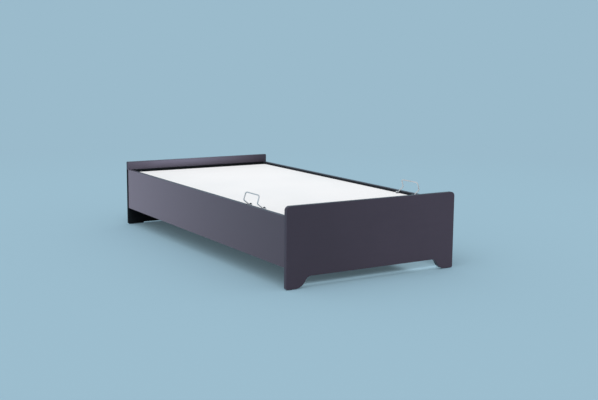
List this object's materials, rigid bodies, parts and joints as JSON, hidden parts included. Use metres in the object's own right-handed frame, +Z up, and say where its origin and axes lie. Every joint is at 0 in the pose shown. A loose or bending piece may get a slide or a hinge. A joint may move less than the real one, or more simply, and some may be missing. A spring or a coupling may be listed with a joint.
{
  "type": "storage bed",
  "caption": "Low single storage bed: panel ends on bracket feet, side rails, a closed base that lifts on gas struts, and bent-wire mattress retainers.",
  "frame": {"origin": "middle of the bed on the floor", "axes": "+X across the bed to the right seen from the foot, +Y towards the headboard, +Z up"},
  "size_m": [0.98, 1.95, 0.405],
  "materials": {
    "dark_lacquer": "matt lacquer",
    "white_laminate": "smooth laminate",
    "bare_wood": "planed, untreated",
    "hardboard": "smooth one side",
    "black_steel": "powder coat",
    "zinc_steel": "zinc plated",
    "bright_rod": "polished",
    "wire_coat": "grey coated wire",
    "black_plastic": "matt",
    "grey_plastic": "matt",
    "pad_rubber": "matt"
  },
  "bodies": {
    "bedstead": {"bracket_bolts": "zinc_steel", "centre_leg_foot": "grey_plastic", "centre_leg_head": "grey_plastic", "corner_bracket_foot_left": "zinc_steel", "corner_bracket_foot_right": "zinc_steel", "corner_bracket_head_left": "zinc_steel", "corner_bracket_head_right": "zinc_steel", "floor_bearer_foot": "bare_wood", "floor_bearer_head": "bare_wood", "floor_board_foot": "hardboard", "floor_board_head": "hardboard", "floor_board_middle": "hardboard", "floor_cleat_foot": "bare_wood", "floor_cleat_head": "bare_wood", "floor_cleat_left": "bare_wood", "floor_cleat_right": "bare_wood", "foot_glides": "grey_plastic", "footboard": "dark_lacquer", "headboard": "dark_lacquer", "hinge_plate_left": "zinc_steel", "hinge_plate_right": "zinc_steel", "pivot_rivet_left": "zinc_steel", "pivot_rivet_right": "zinc_steel", "plate_screws": "zinc_steel", "rail_dowels": "bare_wood", "rest_bracket_foot_left": "zinc_steel", "rest_bracket_foot_right": "zinc_steel", "rest_bracket_middle_left": "zinc_steel", "rest_bracket_middle_right": "zinc_steel", "rest_pads": "pad_rubber", "rest_screws": "zinc_steel", "side_rail_left": "dark_lacquer", "side_rail_right": "dark_lacquer", "strut_stud_left": "zinc_steel", "strut_stud_right": "zinc_steel"},
    "base": {"bed_board": "white_laminate", "board_screws": "zinc_steel", "cross_tube_1": "black_steel", "cross_tube_2": "black_steel", "cross_tube_3": "black_steel", "foot_tube": "black_steel", "head_tube": "black_steel", "hinge_arm_left": "black_steel", "hinge_arm_right": "black_steel", "retainer_caps": "black_plastic", "retainer_left": "wire_coat", "retainer_right": "wire_coat", "retainer_spacers": "black_plastic", "side_tube_left": "black_steel", "side_tube_right": "black_steel", "strut_bracket_left": "black_steel", "strut_bracket_right": "black_steel", "strut_pin_left": "zinc_steel", "strut_pin_right": "zinc_steel", "tube_plugs": "black_plastic"},
    "cylinder_left": {"strut_cylinder_left": "black_steel"},
    "cylinder_right": {"strut_cylinder_right": "black_steel"},
    "rod_left": {"strut_rod_left": "bright_rod"},
    "rod_right": {"strut_rod_right": "bright_rod"}
  },
  "joints": [
    {"name": "base_lift", "type": "hinge", "parent": "bedstead", "child": "base", "pos_m": [0, 0.853, 0.274], "axis": [-1, 0, 0], "range_deg": [0, 35]},
    {"name": "strut_swing_left", "type": "hinge", "parent": "bedstead", "child": "rod_left", "pos_m": [-0.443, 0.8, 0.154], "axis": [-1, 0, 0], "range_deg": [0, 29.94]},
    {"name": "strut_slide_left", "type": "slide", "parent": "rod_left", "child": "cylinder_left", "axis": [0, -0.882, 0.4713], "range_m": [0, 0.07515]},
    {"name": "strut_swing_right", "type": "hinge", "parent": "bedstead", "child": "rod_right", "pos_m": [0.443, 0.8, 0.154], "axis": [-1, 0, 0], "range_deg": [0, 29.94]},
    {"name": "strut_slide_right", "type": "slide", "parent": "rod_right", "child": "cylinder_right", "axis": [0, -0.882, 0.4713], "range_m": [0, 0.07515]}
  ],
  "couplings": [
    {"joint": "strut_swing_left", "follows": "base_lift", "ratio": 0.8553},
    {"joint": "strut_slide_left", "follows": "base_lift", "m_per_rad": 0.12294},
    {"joint": "strut_swing_right", "follows": "base_lift", "ratio": 0.8553},
    {"joint": "strut_slide_right", "follows": "base_lift", "m_per_rad": 0.12294}
  ]
}
